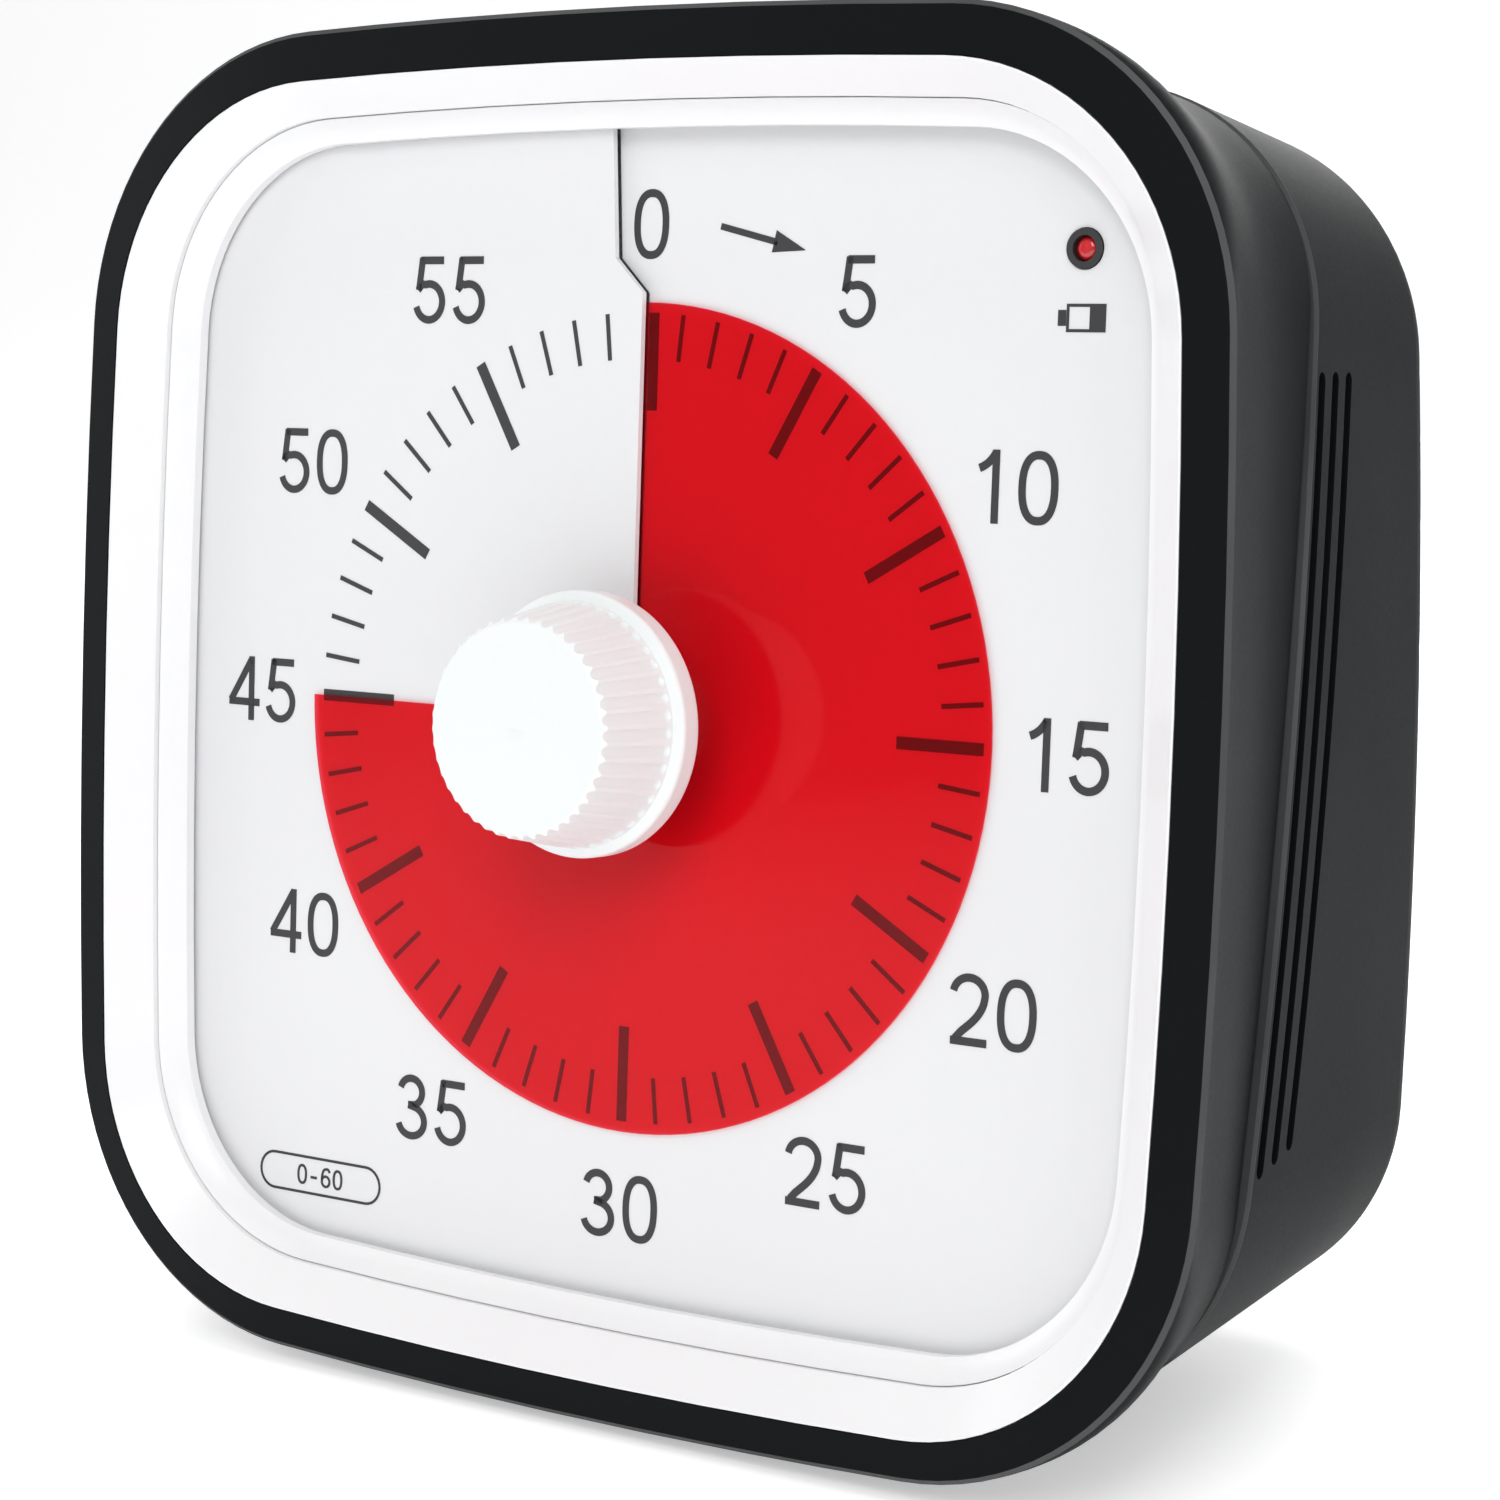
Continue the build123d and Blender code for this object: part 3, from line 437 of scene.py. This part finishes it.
nodeFinish = {
    "black_shell": ("battery_door",),
    "front_frame": ("front_frame",),
    "rear_shell": ("rear_shell",),
    "white_rim": ("bezel", "dial_surround"),
    "dial_sheet": ("dial_plate",),
    "white_knob": ("knob",),
    "white_inner": ("dial_carrier", "knob_shaft", "film_hub"),
    "acetal_gear": ("drive_wheel", "fourth_wheel", "third_wheel", "second_wheel", "rotor_pinion"),
    "movement_case": ("movement_front", "movement_rear"),
    "black_inner": ("switch_body", "buzzer", "lamp_collar", "coil_bobbin"),
    "foot_rubber": ("front_feet", "rear_feet"),
    "chip_epoxy": ("control_chip",),
    "switch_white": ("switch_knob",),
    "plated_steel": ("carrier_screws", "board_screws", "movement_screws", "wheel_arbors", "stator",
                     "coil_core", "clutch_washer", "retaining_clip"),
    "black_steel": ("case_screws",),
    "nickel_strip": ("contact_plates", "contact_springs", "crystal"),
    "magnet_black": ("rotor_magnet",),
    "red_film": ("red_film",),
    "lamp_red": ("signal_lamp",),
    "board_green": ("circuit_board",),
    "copper_wire": ("coil_winding",),
    "cell_sleeve": ("battery_cells",),
}

for finish, names in nodeFinish.items():
    for name in names:
        nodes[name].data.materials.clear()
        nodes[name].data.materials.append(materials[finish])
print("materials on", sum(len(names) for names in nodeFinish.values()), "nodes")

dialLook = {
    "rise": 1.5,                # how far the dial climbs in one turn, millimetres
    "slot": ((0, 8.0), (0, 52.4), (-4.3, 56.6), (-5.6, 80.0)),
    "lift": 0.01,               # ink above the sheet
    "ink": 0.05,                # thickness of the ink
}


def slotAcross(up):
    # where the slot runs at a height
    points = dialLook["slot"]
    for (x0, up0), (x1, up1) in zip(points, points[1:]):
        if up0 <= up <= up1:
            return x0 + (x1 - x0) * (up - up0) / (up1 - up0)
    return points[-1][0]


def printLevel(x, up):
    # level of the sheet, which climbs clockwise from the right side of the slot to the left
    turn = degrees(atan2(x, up))
    if turn < 0 and (up < dialLook["slot"][0][1] or x < slotAcross(up)):
        turn += 360
    return dialLook["rise"] * (turn / 360 - 0.5)


class Print:
    # flat shapes laid on the dial as thin closed solids, all in one mesh
    def __init__(self):
        self.mesh = bmesh.new()

    def quads(self, left, right, closed=False):
        # a ribbon between two lines of points
        low, high = [], []
        for x, up in left + right:
            level = printLevel(x, up) + dialLook["lift"]
            low.append(self.mesh.verts.new(dialPoint(x, up, level)))
            high.append(self.mesh.verts.new(dialPoint(x, up, level + dialLook["ink"])))
        face = self.mesh.faces.new
        count = len(left)
        last = count if closed else count - 1
        for here in range(last):
            there = (here + 1) % count
            across, over = there + count, here + count
            face((high[here], high[there], high[across], high[over]))
            face((low[over], low[across], low[there], low[here]))
            face((low[here], low[there], high[there], high[here]))
            face((high[over], high[across], low[across], low[over]))
        if not closed:
            first, end = count, 2 * count - 1
            face((low[0], high[0], high[first], low[first]))
            face((low[end], high[end], high[last], low[last]))

    def stroke(self, points, width, closed=False):
        left, right = [], []
        count = len(points)
        for step, (x, up) in enumerate(points):
            if closed:
                before, after = points[step - 1], points[(step + 1) % count]
            else:
                before, after = points[max(step - 1, 0)], points[min(step + 1, count - 1)]
            dx, dy = after[0] - before[0], after[1] - before[1]
            size = sqrt(dx * dx + dy * dy)
            nx, ny = -dy / size * width / 2, dx / size * width / 2
            left.append((x + nx, up + ny))
            right.append((x - nx, up - ny))
        self.quads(left, right, closed)

    def piece(self, name, body, material):
        bmesh.ops.recalc_face_normals(self.mesh, faces=self.mesh.faces)
        data = bpy.data.meshes.new(name)
        self.mesh.to_mesh(data)
        self.mesh.free()
        data.materials.append(material)
        made = bpy.data.objects.new(name, data)
        bpy.context.scene.collection.objects.link(made)
        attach(made, body)


def arc(cx, cy, rx, ry, start, end, steps=14, power=2.0):
    # points of an ellipse, squarer for a power over 2, by counter-clockwise degrees
    points = []
    for step in range(steps + 1):
        angle = radians(start + (end - start) * step / steps)
        across, up = cos(angle), sin(angle)
        points.append((cx + rx * abs(across) ** (2 / power) * (1 if across >= 0 else -1),
                       cy + ry * abs(up) ** (2 / power) * (1 if up >= 0 else -1)))
    return points


def bend(start, pull, end, steps=8):
    # points of a curve from start to end, drawn towards pull
    points = []
    for step in range(steps + 1):
        t = step / steps
        points.append(tuple((1 - t) ** 2 * a + 2 * t * (1 - t) * b + t * t * c
                            for a, b, c in zip(start, pull, end)))
    return points


# each numeral is one unit tall; strokes are centre lines
numeralLook = {"tall": 8.5, "thick": 0.115, "wide": 0.62, "space": 0.76, "ring": 60.75}


def numeralStrokes(digit, thick):
    h = thick / 2
    w = numeralLook["wide"]
    cx = w / 2
    if digit == "0":
        return [(arc(cx, 0.5, cx - h, 0.5 - h, 0, 360, 44, 2.35)[:-1], True)]
    if digit == "1":
        return [([(0.40, 0.0), (0.40, 0.5), (0.40, 1.0)], False),
                (bend((0.14, 0.745), (0.30, 0.80), (0.40 - h * 0.2, 0.955)), False)]
    if digit == "2":
        return [(arc(cx, 0.71, cx - h, 0.29 - h, 172, -12, 18)
                 + bend((0.545, 0.60), (0.50, 0.45), (0.33, 0.30))
                 + [(0.20, 0.19), (0.105, 0.085)], False),
                ([(0.03, h), (0.30, h), (w - 0.01, h)], False)]
    if digit == "3":
        return [(arc(cx - 0.015, 0.735, cx - h - 0.04, 0.265 - h, 166, -70, 20)
                 + [(0.24, 0.53)], False),
                ([(0.24, 0.53)]
                 + arc(cx - 0.005, 0.285, cx - h, 0.285 - h, 72, -166, 22), False)]
    if digit == "4":
        return [([(0.46, 0.0), (0.46, 0.5), (0.46, 1.0)], False),
                ([(0.0, 0.285), (0.3, 0.285), (0.63, 0.285)], False),
                ([(0.035, 0.30), (0.24, 0.62), (0.445, 0.945)], False)]
    if digit == "5":
        return [([(0.135, 1 - h), (0.34, 1 - h), (0.57, 1 - h)], False),
                ([(0.165, 0.98), (0.135, 0.75), (0.10, 0.50)], False),
                (bend((0.085, 0.50), (0.15, 0.585), (0.22, 0.61), 4)[:-1]
                 + arc(cx - 0.01, 0.325, cx - h, 0.325 - h, 108, -164, 26), False)]
    if digit == "6":
        return [(arc(cx, 0.32, cx - h, 0.32 - h, 0, 360, 32)[:-1], True),
                (bend((h, 0.34), (h, 1 - h), (0.34, 1 - h), 12)
                 + bend((0.40, 0.945), (0.52, 0.92), (0.55, 0.78), 5), False)]
    return [([(0.1, 0.42), (0.3, 0.42), (0.5, 0.42)], False)]      # a dash


def drawText(ink, text, x, up, tall, thick):
    space = numeralLook["space"]
    width = space * (len(text) - 1) + numeralLook["wide"]
    for place, digit in enumerate(text):
        left = place * space - width / 2
        for points, closed in numeralStrokes(digit, thick):
            ink.stroke([(x + (left + px) * tall, up + (py - 0.5) * tall) for px, py in points],
                       thick * tall, closed)


def clockPoint(radius, minutes):
    return radius * sin(minutes * pi / 30), radius * cos(minutes * pi / 30)


numerals = Print()
for minutes in range(0, 60, 5):
    x, up = clockPoint(numeralLook["ring"], minutes)
    drawText(numerals, str(minutes), x, up, numeralLook["tall"], numeralLook["thick"])
numerals.piece("minute_numerals", "case", materials["print_ink"])

# radii where ticks end and start, their widths, and how far the first stands off the slot's edge
tickLook = {"outer": 50.0, "long": 38.1, "short": 44.3, "bold": 1.5, "fine": 0.6, "offSlot": 0.1}

ticks = Print()
for minutes in range(60):
    bold = minutes % 5 == 0
    width = tickLook["bold"] if bold else tickLook["fine"]
    inner = tickLook["long"] if bold else tickLook["short"]
    shift = width / 2 + tickLook["offSlot"] if minutes == 0 else 0.0
    turn = minutes * pi / 30
    line = []
    for step in range(4):
        radius = inner + (tickLook["outer"] - inner) * step / 3
        line.append((radius * sin(turn) + shift * cos(turn),
                     radius * cos(turn) - shift * sin(turn)))
    ticks.stroke(line, width)
ticks.piece("minute_ticks", "case", materials["print_ink"])

arrowLook = {"tail": (10.4, 60.4), "tip": (22.7, 57.5), "thick": 0.8, "headLength": 4.6,
             "headHalf": 1.35, "pointHalf": 0.04, "overlap": 0.5}

arrow = Print()
tail, tip = Vector(arrowLook["tail"]), Vector(arrowLook["tip"])
along = (tip - tail).normalized()
across = Vector((-along.y, along.x))
neck = tip - along * arrowLook["headLength"]
shaftEnd = neck + along * arrowLook["overlap"]      # a little way into the head
arrow.stroke([tuple(tail), tuple((tail + neck) / 2), tuple(shaftEnd)], arrowLook["thick"])
barbs = [neck + across * arrowLook["headHalf"], neck - across * arrowLook["headHalf"]]
point = across * arrowLook["pointHalf"]
arrow.quads([tuple(barbs[0]), tuple(tip + point)], [tuple(barbs[1]), tuple(tip - point)])
arrow.piece("direction_arrow", "case", materials["print_ink"])

# outline of the battery sign, where its nub begins and where its last filled part begins
batteryLook = {"left": 58.6, "right": 63.7, "low": 48.1, "high": 51.3, "line": 0.35, "nub": 57.5,
               "full": 61.6, "nubGap": 0.05}


def rectangle(ink, left, right, low, high):
    places = (left, (left + right) / 2, right)
    ink.quads([(x, high) for x in places], [(x, low) for x in places])


def drawBattery(ink, left, right, low, high, line, nub, full, nubGap):
    rectangle(ink, left, right, high - line, high)
    rectangle(ink, left, right, low, low + line)
    rectangle(ink, left, left + line, low + line, high - line)
    rectangle(ink, full, right, low + line, high - line)
    rectangle(ink, nub, left - nubGap, low + 2 * line, high - 2 * line)


battery = Print()
drawBattery(battery, **batteryLook)
battery.piece("battery_symbol", "case", materials["print_ink"])

badgeLook = {"x": -49.0, "up": -64.0, "half": 10.3, "round": 2.4, "line": 0.35, "tall": 2.7,
             "thick": 0.13, "text": "0-60"}


def drawBadge(ink, look):
    # the range of the timer in a rounded frame
    x, up, cap = look["x"], look["up"], look["round"]
    reach = look["half"] - cap
    outline = arc(x + reach, up, cap, cap, -90, 90) + arc(x - reach, up, cap, cap, 90, 270)
    ink.stroke(outline, look["line"], True)
    drawText(ink, look["text"], x, up, look["tall"], look["thick"])


badge = Print()
drawBadge(badge, badgeLook)
badge.piece("range_mark", "case", materials["print_ink"])
print("dial printed")

stageLook = {
    "floor": (0.86, 0.86, 0.865),
    "reach": 3.0,            # metres to each side and to the front, and the height behind
    "flat": 0.45,            # share of that behind the timer before the floor curves up
    "sweep": 0.9,            # radius of the curve, metres
    "curveStep": 6,          # degrees
    "fibreSize": 2.0,        # millimetres
    "shade": 0.99,
    "rough": 0.8,
    "shine": 0.2,
    "glow": 0.52,
    "world": 0.40,
}


def makeStage(look):
    # a pale sweep: flat under the timer, curving up behind it
    sweep = bmesh.new()
    reach, bendRadius = look["reach"], look["sweep"]
    flatEnd = reach * look["flat"]
    profile = [(-reach, 0.0), (flatEnd, 0.0)]
    for turn in range(look["curveStep"], 91, look["curveStep"]):
        profile.append((flatEnd + bendRadius * sin(radians(turn)),
                        bendRadius * (1 - cos(radians(turn)))))
    profile.append((flatEnd + bendRadius, reach))
    ends = [[sweep.verts.new((x, y, z)) for y, z in profile] for x in (-reach, reach)]
    for step in range(len(profile) - 1):
        sweep.faces.new((ends[0][step], ends[1][step], ends[1][step + 1], ends[0][step + 1]))
    data = bpy.data.meshes.new("floor")
    sweep.to_mesh(data)
    sweep.free()
    for face in data.polygons:
        face.use_smooth = True
    floor = bpy.data.objects.new("floor", data)
    bpy.context.scene.collection.objects.link(floor)
    material, wire = newMaterial("floor_paper")
    fibres = noise(wire, objectPlace(wire), look["fibreSize"], 3.0)
    shade = tuple(part * look["shade"] for part in look["floor"])
    colour = between(wire, fibres, rgba(look["floor"]), rgba(shade))
    shader = wire.add("ShaderNodeBsdfPrincipled", {}, {
        "Base Color": colour, "Roughness": look["rough"], "Specular IOR Level": look["shine"],
        "Emission Color": colour, "Emission Strength": look["glow"]})
    data.materials.append(finishMaterial(material, shader))


makeStage(stageLook)

# softboxes: where they stand, what they point at, width, height and power in watts
lampsLook = {
    "key": {"spot": (0.60, -1.25, 1.05), "aim": (0, 0, 0.09), "size": (1.0, 0.8), "watts": 11.0},
    "fill": {"spot": (-1.25, -0.45, 0.55), "aim": (0, 0, 0.09), "size": (0.8, 0.8), "watts": 4.5},
    "side": {"spot": (1.40, -0.55, 0.35), "aim": (0, -0.05, 0.09), "size": (0.7, 0.7),
             "watts": 3.0},
    "top": {"spot": (0.0, 0.1, 1.5), "aim": (0, 0.1, 0.05), "size": (1.8, 1.2), "watts": 11.0},
    "back": {"spot": (-0.55, 1.30, 0.45), "aim": (0, 0, 0.09), "size": (0.9, 0.6), "watts": 4.0},
}

for name, look in lampsLook.items():
    lamp = bpy.data.objects.new("light_" + name, bpy.data.lights.new("light_" + name, "AREA"))
    lamp.data.shape = "RECTANGLE"
    lamp.data.size, lamp.data.size_y = look["size"]
    lamp.data.energy = look["watts"]
    lamp.location = look["spot"]
    towards = Vector(look["aim"]) - Vector(look["spot"])
    lamp.rotation_euler = towards.to_track_quat("-Z", "Y").to_euler()
    bpy.context.scene.collection.objects.link(lamp)

world = bpy.data.worlds.new("studio")
bpy.context.scene.world = world
world.use_nodes = True
background = world.node_tree.nodes["Background"].inputs
background["Color"].default_value = rgba((1.0, 1.0, 1.0))
background["Strength"].default_value = stageLook["world"]
bpy.context.scene.view_settings.view_transform = "Standard"
print("stage lit")
